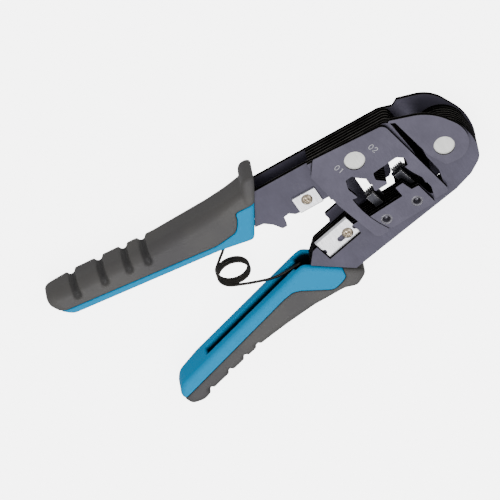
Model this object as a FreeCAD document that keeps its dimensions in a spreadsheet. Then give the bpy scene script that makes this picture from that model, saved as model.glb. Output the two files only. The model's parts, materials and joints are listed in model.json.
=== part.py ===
"""Crimping tool for modular telephone plugs: two laminated steel arms that turn
about a pin at the nose, blue handle liners with rubber grips, and a torsion
spring between the handles.

The tool lies flat with its front face up: X runs along the fixed arm towards
the nose, Y across it, Z is the thickness. Outlines are drawn about the pivot
axis. Those of the moving arm are drawn with the tool shut, where its edges
run along X, and its placement swings it open.
"""
import FreeCAD, Part
import math
import os

import Sketcher

DIMENSIONS = {
    # place of the pivot axis, and the swing of the moving arm
    "pivot_x": 88.1,
    "pivot_y": 13.3,
    "open_angle": 13.0,
    # plate thicknesses of the fixed arm, from the back to the front
    "back_plate": 2.0,
    "die_plate": 2.2,
    "front_plate": 2.0,
    "spacer_plate": 1.8,
    "housing_plate": 2.0,
    # the moving arm's stack lies inside the fixed one
    "moving_base": 4.6,
    "moving_back": 2.0,
    "punch_plate": 1.825,
    "moving_front": 2.4,
    "slide_gap": 0.1,
    # pins, rivets and screws
    "pin_radius": 4.75,
    "pin_recess": 0.8,
    "running_fit": 0.05,
    "die_pin_x": -37.2,
    "die_pin_y": 15.3,
    "rivet_radius": 1.5,
    "rivet_shoulder": 3.0,
    "block_rivet_radius": 2.6,
    "block_rivet_socket": 1.5,
    "block_rivet_depth": 3.0,
    "screw_radius": 1.4,
    "screw_head_radius": 2.8,
    "screw_head_height": 1.2,
    "cross_width": 0.7,
    "cross_length": 3.2,
    "cross_depth": 0.6,
    # blades
    "blade_thickness": 1.0,
    "blade_bevel": 0.7,
    "cut_overlap": 1.0,
    # handles
    "handle_thickness": 17.4,
    "grip_round": 2.4,
    "liner_round": 2.4,
    "slot_low": 5.4,
    "slot_high": 12.6,
    # torsion spring
    "spring_x": -112.9,
    "spring_y": -9.4,
    "spring_height": 9.2,
    "spring_radius": 7.3,
    "wire_radius": 0.6,
    "spring_turns": 3.25,
    "spring_pitch": 1.24,
    "spring_tilt": 17.0,
}

doc = FreeCAD.newDocument("crimping_tool")
sheet = doc.addObject("Spreadsheet::Sheet", "Params")
for row, (alias, number) in enumerate(DIMENSIONS.items(), start=1):
    sheet.set(f"A{row}", str(number))
    sheet.setAlias(f"A{row}", alias)
doc.recompute()

UP = FreeCAD.Vector(0, 0, 1)
nodes = []


def size(alias):
    """The value of one driving dimension."""
    return float(sheet.get(alias))


# Levels of the plates, as expressions on the sheet.
LEVEL = {
    "die_1": "Params.back_plate",
    "die_2": "Params.back_plate + Params.die_plate",
    "die_3": "Params.back_plate + 2 * Params.die_plate",
    "die_4": "Params.back_plate + 3 * Params.die_plate",
    "front": "Params.back_plate + 4 * Params.die_plate",
}
LEVEL["spacer_1"] = LEVEL["front"] + " + Params.front_plate"
LEVEL["spacer_2"] = LEVEL["spacer_1"] + " + Params.spacer_plate"
LEVEL["housing"] = LEVEL["spacer_2"] + " + Params.spacer_plate"
LEVEL["top"] = LEVEL["housing"] + " + Params.housing_plate"
LEVEL["punch_1"] = "Params.moving_base + Params.moving_back"
for step in (2, 3, 4):
    LEVEL[f"punch_{step}"] = f"{LEVEL['punch_1']} + {step - 1} * Params.punch_plate"
LEVEL["moving_front"] = LEVEL["punch_1"] + " + 4 * Params.punch_plate"


# ---------------------------------------------------------------- drawing

def polar(radius, angle):
    """A point at an angle in degrees about the pivot axis."""
    turn = math.radians(angle)
    return (radius * math.cos(turn), radius * math.sin(turn))


def outline_curves(path):
    """Lines and arcs of a closed outline.

    The path lists corners as (x, y) or (x, y, round radius). An entry
    ("via", (x, y)) between two corners makes that side an arc through
    the point.
    """
    corners = []
    vias = {}
    for entry in path:
        if entry[0] == "via":
            vias[len(corners) - 1] = FreeCAD.Vector(*entry[1], 0)
        else:
            radius = entry[2] if len(entry) > 2 else 0.0
            corners.append((FreeCAD.Vector(entry[0], entry[1], 0), radius))
    count = len(corners)
    arrive, leave, rounds = [], [], []
    for index, (corner, radius) in enumerate(corners):
        if radius == 0.0:
            arrive.append(corner)
            leave.append(corner)
            rounds.append(None)
            continue
        back = (corners[index - 1][0] - corner).normalize()
        ahead = (corners[(index + 1) % count][0] - corner).normalize()
        half = back.getAngle(ahead) / 2
        reach = radius / math.tan(half)
        centre = corner + (back + ahead).normalize() * (radius / math.sin(half))
        arrive.append(corner + back * reach)
        leave.append(corner + ahead * reach)
        rounds.append(centre + (corner - centre).normalize() * radius)
    curves = []
    for index in range(count):
        after = (index + 1) % count
        if rounds[index] is not None:
            curves.append(Part.Arc(arrive[index], rounds[index], leave[index]))
        if index in vias:
            curves.append(Part.Arc(leave[index], vias[index], arrive[after]))
        else:
            curves.append(Part.LineSegment(leave[index], arrive[after]))
    return curves


def add_sketch(body, name, paths, circles=()):
    """A sketch on the body's XY plane; circles are (x, y, radius expression)."""
    sketch = body.newObject("Sketcher::SketchObject", name)
    plane = next(f for f in body.Origin.OriginFeatures if f.Role == "XY_Plane")
    sketch.AttachmentSupport = [(plane, "")]
    sketch.MapMode = "FlatFace"
    for path in paths:
        sketch.addGeometry(outline_curves(path), False)
    for number, (x, y, radius) in enumerate(circles):
        circle = Part.Circle(FreeCAD.Vector(x, y, 0), UP, 1.0)
        index = sketch.addGeometry(circle, False)
        sketch.addConstraint(Sketcher.Constraint("DistanceX", -1, 1, index, 3, x))
        sketch.addConstraint(Sketcher.Constraint("DistanceY", -1, 1, index, 3, y))
        place = sketch.addConstraint(Sketcher.Constraint("Radius", index, 1.0))
        sketch.renameConstraint(place, f"hole_{number}")
        sketch.setExpression(f"Constraints.hole_{number}", radius)
    return sketch


def set_place(part, height, moving):
    """Binds an object's placement to the pivot, its level and its arm's swing."""
    part.Placement = FreeCAD.Placement(FreeCAD.Vector(), FreeCAD.Rotation(UP, 1.0))
    part.setExpression(".Placement.Base.x", "Params.pivot_x")
    part.setExpression(".Placement.Base.y", "Params.pivot_y")
    part.setExpression(".Placement.Base.z", height)
    swing = "Params.open_angle * 1 deg" if moving else "0 deg"
    part.setExpression(".Placement.Rotation.Angle", swing)


def plate(name, height, thickness, paths, circles=(), moving=False):
    """A flat piece: an outline with its holes, padded to its thickness."""
    body = doc.addObject("PartDesign::Body", name)
    body.Label = name
    sketch = add_sketch(body, name + "_outline", paths, circles)
    pad = body.newObject("PartDesign::Pad", name + "_pad")
    pad.Profile = sketch
    pad.setExpression("Length", thickness)
    sketch.Visibility = False
    set_place(body, height, moving)
    nodes.append(body)
    return body


def cut_slot(body, name, path, low, high):
    """Pockets an outline out of a body, between two heights above its base."""
    sketch = add_sketch(body, name, [path])
    sketch.setExpression(".AttachmentOffset.Base.z", high)
    pocket = body.newObject("PartDesign::Pocket", name + "_pocket")
    pocket.Profile = sketch
    pocket.setExpression("Length", f"({high}) - ({low})")
    sketch.Visibility = False
    return pocket


def bevel_edge(body, edge_y):
    """Chamfers the upper edge of a blade that runs along its cutting side."""
    doc.recompute()
    blank = body.Tip
    to_local = body.Placement.inverse()
    for number, edge in enumerate(body.Shape.Edges, start=1):
        ends = [to_local.multVec(vertex.Point) for vertex in edge.Vertexes]
        on_side = all(abs(end.y - edge_y) < 0.01 for end in ends)
        if on_side and all(end.z > size("blade_thickness") / 2 for end in ends):
            chamfer = body.newObject("PartDesign::Chamfer", body.Name + "_bevel")
            chamfer.Base = (blank, [f"Edge{number}"])
            chamfer.setExpression("Size", "Params.blade_bevel")
            return
    raise RuntimeError(f"no cutting edge found on {body.Label}")


# --------------------------------------------------------------- outlines

# The two plug cavities, from the left wall over the tongue between them to
# the right leg. Both open downwards, where the punches come in.
LEFT_WALL = [(-47.0, 3.9, 1.0), (-45.7, 8.7, 0.8), (-42.2, 9.0, 0.5)]
NARROW_ROOF = [(-41.2, 7.4, 0.4), (-37.4, 4.2, 0.8)]
TONGUE = [(-36.9, -0.2, 0.8), (-37.6, -3.5, 0.7), (-30.9, -3.1, 0.6), (-30.7, -1.6, 0.6),
          (-34.4, 1.6, 1.2)]
WIDE_ROOF = [(-33.6, 5.2, 1.2), (-20.8, 6.6, 2.0), (-17.8, 4.2, 1.4), (-18.4, 0.4, 0.4),
             (-20.1, 0.3, 0.3), (-18.9, -3.3, 0.8)]
CAVITIES = LEFT_WALL + NARROW_ROOF + TONGUE + WIDE_ROOF

PIN_HOLE = (0.0, 0.0, "Params.pin_radius")
PIVOT_CLEARANCE = (0.0, 0.0, "Params.pin_radius + Params.running_fit")
DIE_PIN_HOLE = (size("die_pin_x"), size("die_pin_y"), "Params.pin_radius")
ARM_RIVET = (-66.6, 14.8)
ARM_RIVET_HOLE = (*ARM_RIVET, "Params.rivet_radius")
SHORT_BLADE_SCREW = (-65.9, 7.1)
SHORT_BLADE_HOLE = (*SHORT_BLADE_SCREW, "Params.screw_radius")

LEG_ARC = 48.05
BLOCK_ARC = 47.65


def die_outline(top, right_foot):
    """A die lamination: block with both cavities and the thin right leg."""
    return [(-56.5, top, 0.5), (-15.0, top, 3.5), (-13.4, 5.0, 3.0), (-13.2, -13.2, 0.6),
            (-16.8, right_foot, 0.6)] + list(reversed(
                [(-48.0, 2.9, 0.5)] + CAVITIES + [(-16.6, -8.5, 1.0)])) + [(-56.5, 2.3, 0.5)]


def window_outline():
    """The window both outer plates share: left leg, cavities and right leg."""
    leg_low = polar(LEG_ARC, 209.0)
    leg_high = polar(LEG_ARC, 181.8)
    inside = [leg_low, ("via", polar(LEG_ARC, 195.0)), leg_high, (-45.6, -1.9, 0.4),
              (-45.7, -0.9, 0.4)]
    return inside + CAVITIES + [(-16.3, -8.7, 1.0), (-15.3, -15.0, 2.0), (-16.9, -21.6, 0.5)]


def back_window_outline():
    """The narrower window of the back plate, whose long tongue parts the cavities."""
    tongue = [(-41.1, 6.6, 0.5), (-41.1, -8.6, 0.6), (-39.8, -9.9, 0.6), (-31.6, -9.6, 0.8),
              (-29.7, -7.9, 0.6), (-28.9, -4.6, 1.0), (-28.9, 5.4, 1.0)]
    left = [polar(LEG_ARC, 209.0), (-45.3, -16.0, 2.0), (-45.3, 7.4, 0.8), (-43.4, 8.4, 0.4)]
    return left + tongue + WIDE_ROOF[1:] + [(-16.3, -8.7, 1.0), (-15.3, -15.0, 2.0),
                                            (-16.9, -21.6, 0.5)]


LEFT_LEG = [(-54.7, -1.0, 6.0), (-49.4, -20.9, 4.0), (-48.4, -25.0, 3.0), (-42.3, -24.6, 0.6)]


def housing_outline():
    """The raised plate: an upside-down U with the cavities at its root."""
    return window_outline() + [(-9.3, -21.3, 2.0), (-17.3, 24.2, 3.5), (-52.6, 26.0, 1.0),
                               (-57.8, 18.5, 2.5)] + LEFT_LEG


NOSE_FRONT = [(3.2, 18.5, 24.0), (11.8, 4.6, 14.0), (11.3, -4.0, 9.0), (4.6, -9.9, 9.0)]
NOSE_BACK = [(5.2, 18.3, 16.0), (12.8, 1.0, 23.0), (12.2, -10.5, 22.0), (8.0, -19.0, 8.0),
             (-9.5, -20.6, 1.0)]

# Lower edge of the fixed arm: stripping tooth, round notch, blade seat.
STRIPPING_EDGE = [(-71.6, 2.3, 0.3), (-74.0, 2.6, 0.5), (-76.5, 4.6, 1.2), (-79.3, 4.2, 1.2),
                  (-80.2, -0.6, 0.4), (-82.6, -0.6, 0.6), (-85.2, 3.4, 1.5), (-88.5, 6.2, 1.5)]
MOUTH_LOW = (-94.8, 2.9)
MOUTH_HIGH = (-79.0, 31.2)


def mouth_x(y):
    """X of the fixed handle's slanting mouth at a height Y."""
    share = (y - MOUTH_LOW[1]) / (MOUTH_HIGH[1] - MOUTH_LOW[1])
    return MOUTH_LOW[0] + share * (MOUTH_HIGH[0] - MOUTH_LOW[0])


def fixed_arm_left():
    """Left part of the front and back plates, from the head to the mouth."""
    return STRIPPING_EDGE + [(mouth_x(6.8), 6.8), (mouth_x(23.0), 23.0)]


def back_outline():
    """The whole fixed arm from behind: arm, head with its window, and nose."""
    head = [(-19.0, 23.0, 4.0), (-12.6, 20.9, 1.0), (-9.4, 22.9, 1.0)]
    window = list(reversed(back_window_outline()))
    leg = [(-56.5, 2.3, 0.5)] + LEFT_LEG
    return fixed_arm_left() + head + NOSE_BACK + window + list(reversed(leg))


def front_outline():
    """The front plate of the fixed arm, which is also a die lamination."""
    return fixed_arm_left() + die_outline(23.0, -13.4)[1:]


def nose_outline():
    """The raised nose plate with its shoulder towards the head."""
    return [(-15.0, 25.0, 0.8)] + NOSE_FRONT + [(-3.9, -8.8, 1.0), (-8.2, -0.3, 1.5),
                                                (-12.4, 22.4, 0.6), (-15.0, 23.6, 0.4)]


# Moving arm, drawn shut.
BLOCK_TOP = (-48.4, -2.8)
BLOCK_NOTCHES = [(-30.5, -5.6, 0.3), (-29.8, -0.2, 0.4), (-25.9, -0.6, 0.4), (-25.3, -5.9, 0.3),
                 (-21.9, -6.8, 0.3)]
HUB_AND_FOOT = [(-21.9, -15.4, 2.2), (-14.6, -16.6, 2.2), (-10.7, -8.5, 4.0), (-9.9, 0.5, 4.0),
                (*polar(11.9, 125),), ("via", polar(11.9, 55)), (*polar(11.9, -12),),
                (11.2, -9.0, 24.0), (6.6, -17.0, 8.5), (-2.0, -20.3, 6.0), (-12.0, -21.4, 6.0)]
MOVING_TAIL_LOW = (-70.9, -19.2)
MOVING_TAIL_HIGH = (-84.0, -3.4)
TANG = [(-73.1, -16.7), (-150.0, -17.4, 2.0), (-150.0, -12.4, 2.0), (-79.0, -9.3)]

LONG_BLADE_SCREW = (-61.6, -3.6)
BLOCK_RIVETS = [(-27.8, -12.2), (-43.6, -9.3)]
MOVING_RIVET = (-59.8, -12.0)
MOVING_HOLES = [PIVOT_CLEARANCE, (*MOVING_RIVET, "Params.rivet_radius")]
MOVING_HOLES += [(x, y, "Params.block_rivet_radius") for x, y in BLOCK_RIVETS]
LONG_BLADE_HOLE = (*LONG_BLADE_SCREW, "Params.screw_radius")
CUT_LINE = 1.9
BLADE_LEFT, BLADE_RIGHT, BLADE_BACK = -75.6, -57.0, -7.2
FIT_AROUND_BLADE = 0.15


def moving_front_outline():
    """The front plate of the moving arm, open where the long blade lies."""
    left, right = BLADE_LEFT - FIT_AROUND_BLADE, BLADE_RIGHT + FIT_AROUND_BLADE
    low = BLADE_BACK - FIT_AROUND_BLADE
    return [BLOCK_TOP] + BLOCK_NOTCHES + HUB_AND_FOOT + [
        (*MOVING_TAIL_LOW, 0.5), (*MOVING_TAIL_HIGH, 0.5), (-78.4, 1.3, 0.5), (left, 1.5),
        (left, low), (right, low), (right, -1.5, 0.5)]


def punch_outline():
    """A full-length lamination of the moving arm, with its tang."""
    return [(-56.4, -1.5, 0.4), BLOCK_TOP] + BLOCK_NOTCHES + HUB_AND_FOOT + [
        MOVING_TAIL_LOW, *TANG, MOVING_TAIL_HIGH, (-76.8, 1.1, 0.5), (-57.2, 1.5, 0.4),
        (-57.0, -1.4, 0.2)]


def moving_back_outline():
    """The back plate of the moving arm, with its raised lug at the cutter."""
    return [(-57.5, -1.6), BLOCK_TOP] + BLOCK_NOTCHES + HUB_AND_FOOT + [
        (*MOVING_TAIL_LOW, 0.5), (*MOVING_TAIL_HIGH, 0.5), (-76.8, 1.1, 0.5), (-66.7, 1.3),
        (-65.0, 3.6, 0.5), (-65.0, 6.5, 0.5), (-57.6, 6.5, 0.5)]


def block_outline():
    """The raised punch plate; its left side is an arc about the pivot."""
    upper = polar(BLOCK_ARC, 183.5)
    lower = polar(BLOCK_ARC, 195.0)
    return [upper] + BLOCK_NOTCHES + [(-22.5, -18.6, 0.8), (-44.6, -14.4, 2.0), lower,
                                      ("via", polar(BLOCK_ARC, 189.0))]


# ----------------------------------------------------------- fixed arm

fixed_head_holes = [DIE_PIN_HOLE]
arm_holes = [DIE_PIN_HOLE, ARM_RIVET_HOLE]

plate("upper_back_plate", "0", "Params.back_plate", [back_outline()],
      arm_holes + [PIN_HOLE])
for number in (1, 2, 3, 4):
    plate(f"die_lamination_{number}", LEVEL[f"die_{number}"], "Params.die_plate",
          [die_outline(23.0, -13.4)], fixed_head_holes)
plate("upper_front_plate", LEVEL["front"], "Params.front_plate", [front_outline()],
      arm_holes + [SHORT_BLADE_HOLE])
for number in (1, 2):
    plate(f"die_spacer_{number}", LEVEL[f"spacer_{number}"], "Params.spacer_plate",
          [die_outline(24.0, -13.4)], fixed_head_holes)
plate("die_housing_plate", LEVEL["housing"], "Params.housing_plate", [housing_outline()],
      fixed_head_holes)
plate("nose_plate", LEVEL["housing"], "Params.housing_plate", [nose_outline()], [PIN_HOLE])

nose_spacer = plate("nose_back_spacer", LEVEL["die_1"],
                    "Params.moving_base - Params.back_plate - Params.slide_gap",
                    [[(11.6, 0.0), ("via", (0.0, 11.6)), (-11.6, 0.0), ("via", (0.0, -11.6))]],
                    [PIN_HOLE])

CORE = [(-84.2, 22.6, 0.5), (-84.2, 8.4, 0.5), (-93.0, 10.6), (-170.0, 18.4, 2.0),
        (-170.0, 22.4, 2.0), (-93.0, 21.6)]
plate("upper_tang_core", LEVEL["die_1"], "4 * Params.die_plate", [CORE])


def round_pin(name, x, y):
    """A pressed pin through the whole head, a little short of both faces."""
    pin = doc.addObject("Part::Cylinder", name)
    pin.Label = name
    pin.setExpression("Radius", "Params.pin_radius")
    pin.setExpression("Height", LEVEL["top"] + " - 2 * Params.pin_recess")
    pin.setExpression(".Placement.Base.x", f"Params.pivot_x + ({x})")
    pin.setExpression(".Placement.Base.y", f"Params.pivot_y + ({y})")
    pin.setExpression(".Placement.Base.z", "Params.pin_recess")
    nodes.append(pin)


round_pin("pivot_pin", "0", "0")
round_pin("die_stack_pin", "Params.die_pin_x", "Params.die_pin_y")


def cylinder(name, radius, low, high):
    """An upright cylinder between two heights, on its own local axis."""
    solid = doc.addObject("Part::Cylinder", name)
    solid.setExpression("Radius", radius)
    solid.setExpression("Height", f"({high}) - ({low})")
    solid.setExpression(".Placement.Base.z", low)
    return solid


def joined(kind, name, *pieces):
    """A boolean of two pieces, or a compound of several."""
    result = doc.addObject(kind, name)
    if kind == "Part::Compound":
        result.Links = list(pieces)
    else:
        result.Base, result.Tool = pieces
    return result


def stand_at(part, x, y, moving):
    """Puts a fastener on its axis, drawn about the pivot."""
    part.Placement = FreeCAD.Placement(FreeCAD.Vector(), FreeCAD.Rotation(UP, 1.0))
    swing = "Params.open_angle * 1 deg" if moving else "0 deg"
    part.setExpression(".Placement.Rotation.Angle", swing)
    part.setExpression(".Placement.Base.x",
                       f"Params.pivot_x + ({x}) * cos({swing}) - ({y}) * sin({swing})")
    part.setExpression(".Placement.Base.y",
                       f"Params.pivot_y + ({x}) * sin({swing}) + ({y}) * cos({swing})")
    return part


def finish_fastener(part, name, x, y, moving):
    """Names a fastener as a sub-part and places it."""
    part.Label = name
    stand_at(part, x, y, moving)
    nodes.append(part)


# The rivet keeps the two arm plates apart with its shoulder.
rivet_shank = cylinder("upper_rivet_shank", "Params.rivet_radius", "0",
                       LEVEL["spacer_1"])
rivet_shoulder = cylinder("upper_rivet_shoulder", "Params.rivet_shoulder", LEVEL["die_1"],
                          LEVEL["front"])
finish_fastener(joined("Part::Fuse", "upper_arm_rivet_solid", rivet_shank, rivet_shoulder),
                "upper_arm_rivet", *ARM_RIVET, moving=False)
moving_rivet = cylinder("lower_rivet_shank", "Params.rivet_radius", "0",
                        LEVEL["moving_front"] + " - Params.moving_base + Params.moving_front")
finish_fastener(moving_rivet, "lower_arm_rivet", *MOVING_RIVET, moving=True)
moving_rivet.setExpression(".Placement.Base.z", "Params.moving_base")


def cross_screw(name, x, y, seat, tail, moving):
    """A pan-head screw with a cross recess: head on the blade, shank below."""
    under_head = f"{seat} + Params.blade_thickness"
    head_top = f"{under_head} + Params.screw_head_height"
    head = cylinder(name + "_head", "Params.screw_head_radius", under_head, head_top)
    shank = cylinder(name + "_shank", "Params.screw_radius", tail, under_head)
    recesses = []
    for turn in (0, 90):
        bar = doc.addObject("Part::Box", f"{name}_bar_{turn}")
        bar.setExpression("Length", "Params.cross_length")
        bar.setExpression("Width", "Params.cross_width")
        bar.setExpression("Height", "Params.cross_depth")
        long_side, short_side = "Params.cross_length / 2", "Params.cross_width / 2"
        bar.Placement = FreeCAD.Placement(FreeCAD.Vector(), FreeCAD.Rotation(UP, turn))
        bar.setExpression(".Placement.Base.x", f"-({long_side})" if turn == 0 else short_side)
        bar.setExpression(".Placement.Base.y", f"-({short_side})" if turn == 0 else f"-({long_side})")
        bar.setExpression(".Placement.Base.z", f"{head_top} - Params.cross_depth")
        recesses.append(bar)
    cross = joined("Part::Fuse", name + "_cross", *recesses)
    blank = joined("Part::Fuse", name + "_blank", head, shank)
    screw = joined("Part::Cut", name + "_solid", blank, cross)
    finish_fastener(screw, name, x, y, moving)


def blade(name, height, corners, holes, cut_side, moving, extra=()):
    """A flat blade with one bevelled cutting edge."""
    body = plate(name, height, "Params.blade_thickness", [corners, *extra], holes, moving)
    bevel_edge(body, cut_side)


short_blade = [(-71.6, CUT_LINE), (-60.2, CUT_LINE), (-60.2, 10.5), (-71.6, 10.5)]
blade("short_blade", LEVEL["spacer_1"], short_blade, [SHORT_BLADE_HOLE], CUT_LINE, False)
cross_screw("short_blade_screw", *SHORT_BLADE_SCREW, LEVEL["spacer_1"], LEVEL["front"], False)

# ----------------------------------------------------------- moving arm

plate("lower_back_plate", "Params.moving_base", "Params.moving_back", [moving_back_outline()],
      MOVING_HOLES, moving=True)
laminations = {}
for number in (1, 2, 3, 4):
    holes = MOVING_HOLES + ([LONG_BLADE_HOLE] if number > 2 else [])
    laminations[number] = plate(f"punch_lamination_{number}", LEVEL[f"punch_{number}"],
                                "Params.punch_plate", [punch_outline()], holes, moving=True)
plate("lower_front_plate", LEVEL["moving_front"], "Params.moving_front",
      [moving_front_outline()], MOVING_HOLES, moving=True)
block_holes = [(x, y, "Params.block_rivet_radius") for x, y in BLOCK_RIVETS]
plate("punch_block_plate", LEVEL["housing"], "Params.housing_plate", [block_outline()],
      block_holes, moving=True)


def rectangle(left, right, low, high):
    """Corners of an upright rectangle."""
    return [(left, low), (right, low), (right, high), (left, high)]


COMB_PITCH = 1.02
TOOTH_WIDTH = 0.5
TOOTH_HEIGHT = 2.0
COMB_TIP = 2.6


def comb_outline(left, right, low, first_tooth):
    """A contact comb: a bar with six square teeth for the plug's contacts."""
    root = COMB_TIP - TOOTH_HEIGHT
    path = [(right, low), (right, root)]
    for number in reversed(range(6)):
        tooth = first_tooth + number * COMB_PITCH
        path += [(tooth + TOOTH_WIDTH, root), (tooth + TOOTH_WIDTH, COMB_TIP),
                 (tooth, COMB_TIP), (tooth, root)]
    return path + [(left, root), (left, low)]


INSERTS = {
    "narrow_contact_comb": (1, comb_outline(-45.0, -39.0, -6.6, -44.85), (-45.0, -39.0, -6.6)),
    "wide_contact_comb": (1, comb_outline(-29.9, -22.3, -9.2, -28.3), (-29.9, -22.3, -9.2)),
    "narrow_strain_punch": (4, rectangle(-43.8, -40.1, -6.6, 3.0), (-43.8, -40.1, -6.6)),
    "wide_strain_punch": (4, rectangle(-27.4, -23.4, -9.6, 2.4), (-27.4, -23.4, -9.6)),
}
SEAT_OPEN_ABOVE = 4.0
for name, (number, path, (left, right, low)) in INSERTS.items():
    plate(name, LEVEL[f"punch_{number}"], "Params.punch_plate", [path], moving=True)
    seat_right = right + 1.0 if name == "wide_contact_comb" else right
    seat = rectangle(left, seat_right, low, SEAT_OPEN_ABOVE)
    cut_slot(laminations[number], name + "_seat", seat, "0", "Params.punch_plate")


def block_rivets():
    """Two flush rivets with a round socket, which hold the punch stack."""
    rivets = []
    for number, (x, y) in enumerate(BLOCK_RIVETS, start=1):
        shank = cylinder(f"block_rivet_shank_{number}", "Params.block_rivet_radius",
                         "Params.moving_base", LEVEL["top"])
        socket = cylinder(f"block_rivet_socket_{number}", "Params.block_rivet_socket",
                          LEVEL["top"] + " - Params.block_rivet_depth", LEVEL["top"] + " + 1")
        rivet = joined("Part::Cut", f"block_rivet_{number}", shank, socket)
        stand_at(rivet, x, y, True)
        rivets.append(rivet)
    group = joined("Part::Compound", "punch_block_rivets", *rivets)
    group.Label = "punch_block_rivets"
    nodes.append(group)


block_rivets()

cutting_edge = CUT_LINE + size("cut_overlap")
NOTCH_Y, NOTCH_RADIUS = -3.5, 1.3
long_blade = [(BLADE_RIGHT, cutting_edge), (BLADE_LEFT, cutting_edge),
              (BLADE_LEFT, NOTCH_Y + NOTCH_RADIUS),
              ("via", (BLADE_LEFT + NOTCH_RADIUS, NOTCH_Y)),
              (BLADE_LEFT, NOTCH_Y - NOTCH_RADIUS), (BLADE_LEFT, BLADE_BACK),
              (BLADE_RIGHT, BLADE_BACK), (BLADE_RIGHT, NOTCH_Y - NOTCH_RADIUS),
              ("via", (BLADE_RIGHT - NOTCH_RADIUS, NOTCH_Y)),
              (BLADE_RIGHT, NOTCH_Y + NOTCH_RADIUS)]
SLOT_END_X = -66.0
screw_x, screw_y = LONG_BLADE_SCREW
half_slot = size("screw_radius")
key_slot = [(SLOT_END_X, screw_y - half_slot), (screw_x, screw_y - half_slot),
            ("via", (screw_x + half_slot, screw_y)), (screw_x, screw_y + half_slot),
            (SLOT_END_X, screw_y + half_slot), ("via", (SLOT_END_X - half_slot, screw_y))]
blade("long_blade", LEVEL["moving_front"], long_blade, [], cutting_edge, True, [key_slot])
cross_screw("long_blade_screw", *LONG_BLADE_SCREW, LEVEL["moving_front"], LEVEL["punch_3"], True)

# -------------------------------------------------------------- handles

UPPER_SPLIT = [(-185.4, 18.8), (-111.0, 10.2, 14.0), (-99.4, 11.4, 4.0), (-95.6, 20.4, 0.8),
               (mouth_x(20.0), 20.0)]
upper_liner = [(*MOUTH_LOW, 1.0), *reversed(UPPER_SPLIT), (-182.0, 14.2, 2.5),
               (-111.0, 6.3, 20.0), (-99.7, 4.0, 3.0)]
upper_grip = [*UPPER_SPLIT, (*MOUTH_HIGH, 1.8), (-84.9, 30.8, 1.8), (-87.4, 26.4, 2.0),
              (-104.4, 24.8, 20.0), (-134.0, 24.2, 20.0), (-172.0, 27.0, 20.0),
              (-189.2, 28.2, 3.8), (-189.0, 22.6, 3.0)]
LOWER_SPLIT = [(-170.6, -13.4), (-115.8, -8.4, 20.0), (-97.0, -7.0, 8.0), (-84.0, -20.6, 3.0),
               (-76.8, -19.0, 2.5), (-75.0, -14.0)]
LOWER_MOUTH_LOW = (-69.3, -21.4)
LOWER_MOUTH_HIGH = (-86.3, -0.9)
lower_liner = [*LOWER_SPLIT, (*LOWER_MOUTH_HIGH, 0.6), (-91.0, -0.9, 6.0), (-156.0, -6.0, 20.0),
               (-166.5, -6.9, 4.0), (-170.6, -10.6, 2.5)]
lower_grip = [LOWER_MOUTH_LOW, *reversed(LOWER_SPLIT), (-170.6, -18.4, 3.0),
              (-164.5, -21.4, 4.5), (-156.6, -19.4, 10.0), (-127.0, -18.0, 20.0),
              (-96.1, -20.3, 20.0), (-81.4, -23.4, 2.0), (-76.6, -26.8, 3.0),
              (-68.8, -24.2, 3.0)]


def line_crossing(point, direction_point, x):
    """Y of the line through two points at a given X."""
    slope = (direction_point[1] - point[1]) / (direction_point[0] - point[0])
    return point[1] + slope * (x - point[0])


# The last point of the lower split lies on the mouth.
LOWER_SPLIT[-1] = (-75.0, line_crossing(LOWER_MOUTH_LOW, LOWER_MOUTH_HIGH, -75.0))
lower_liner[len(LOWER_SPLIT) - 1] = LOWER_SPLIT[-1]
lower_grip[1] = LOWER_SPLIT[-1]

plate("upper_handle_liner", "0", "Params.handle_thickness", [upper_liner])
plate("upper_handle_grip", "0", "Params.handle_thickness", [upper_grip])
plate("lower_handle_liner", "0", "Params.handle_thickness", [lower_liner], moving=True)
plate("lower_handle_grip", "0", "Params.handle_thickness", [lower_grip], moving=True)
handles = {body.Label: body for body in nodes if "handle" in body.Label}
doc.recompute()


def round_handle(body, partner, radius, mouth_low, mouth_high):
    """Rounds a handle half's outer edges, not those at the joint or the mouth."""
    low, high = FreeCAD.Vector(*mouth_low, 0), FreeCAD.Vector(*mouth_high, 0)
    mouth = Part.LineSegment(low + (low - high), high + (high - low))
    to_local = body.Placement.inverse()
    edges = []
    for number, edge in enumerate(body.Shape.Edges, start=1):
        middle = edge.valueAt((edge.FirstParameter + edge.LastParameter) / 2)
        upright = edge.BoundBox.ZLength > 1
        joint = partner.Shape.distToShape(Part.Vertex(middle))[0] < 0.01
        flat_middle = to_local.multVec(middle)
        flat_middle.z = 0
        at_mouth = mouth.toShape().distToShape(Part.Vertex(flat_middle))[0] < 0.5
        if not (upright or joint or at_mouth):
            edges.append(f"Edge{number}")
    blank = body.Tip
    fillet = body.newObject("PartDesign::Fillet", body.Name + "_round")
    fillet.Base = (blank, edges)
    fillet.setExpression("Radius", radius)


for side, mouth_ends in (("upper", (MOUTH_LOW, MOUTH_HIGH)),
                         ("lower", (LOWER_MOUTH_LOW, LOWER_MOUTH_HIGH))):
    grip, liner = handles[f"{side}_handle_grip"], handles[f"{side}_handle_liner"]
    round_handle(grip, liner, "Params.grip_round", *mouth_ends)
    round_handle(liner, grip, "Params.liner_round", *mouth_ends)

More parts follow.
